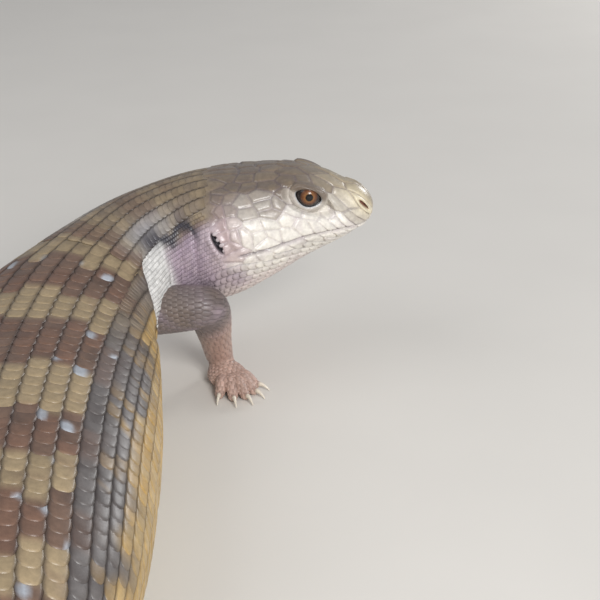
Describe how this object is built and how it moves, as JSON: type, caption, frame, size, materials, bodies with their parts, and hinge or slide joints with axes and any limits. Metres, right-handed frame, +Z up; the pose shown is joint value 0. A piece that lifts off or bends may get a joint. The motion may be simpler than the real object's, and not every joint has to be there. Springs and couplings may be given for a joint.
{
  "type": "blue-tongued skink model",
  "caption": "Still life-size blue-tongued skink standing on its feet and belly, head raised and turned to its right, banded brown scaly back and long tapering tail.",
  "frame": {"origin": "on the floor under the middle of the whole animal's bounding box", "axes": "+Z up, +Y towards the head end along the trunk, +X to the animal's right, the way the head turns"},
  "size_m": [0.1644, 0.4346, 0.0691],
  "materials": {
    "head_hide": "smooth shields, satin",
    "back_hide": "glossy overlapping scales",
    "tail_hide": "glossy overlapping scales",
    "limb_hide": "fine scales, satin",
    "foot_hide": "fine scales, satin",
    "eye": "wet gloss",
    "horn": "smooth horn"
  },
  "bodies": {
    "root": {"head": "head_hide", "eye_right": "eye", "eye_left": "eye", "neck": "head_hide", "chest": "back_hide", "belly": "back_hide", "hips": "back_hide", "tail_base": "tail_hide", "tail_middle": "tail_hide", "tail_tip": "tail_hide", "right_fore_upper": "limb_hide", "right_fore_lower": "limb_hide", "right_fore_foot": "foot_hide", "right_fore_claw_1": "horn", "right_fore_claw_2": "horn", "right_fore_claw_3": "horn", "right_fore_claw_4": "horn", "right_fore_claw_5": "horn", "left_fore_upper": "limb_hide", "left_fore_lower": "limb_hide", "left_fore_foot": "foot_hide", "left_fore_claw_1": "horn", "left_fore_claw_2": "horn", "left_fore_claw_3": "horn", "left_fore_claw_4": "horn", "left_fore_claw_5": "horn", "right_hind_upper": "limb_hide", "right_hind_lower": "limb_hide", "right_hind_foot": "foot_hide", "right_hind_claw_1": "horn", "right_hind_claw_2": "horn", "right_hind_claw_3": "horn", "right_hind_claw_4": "horn", "right_hind_claw_5": "horn", "left_hind_upper": "limb_hide", "left_hind_lower": "limb_hide", "left_hind_foot": "foot_hide", "left_hind_claw_1": "horn", "left_hind_claw_2": "horn", "left_hind_claw_3": "horn", "left_hind_claw_4": "horn", "left_hind_claw_5": "horn"}
  },
  "joints": []
}
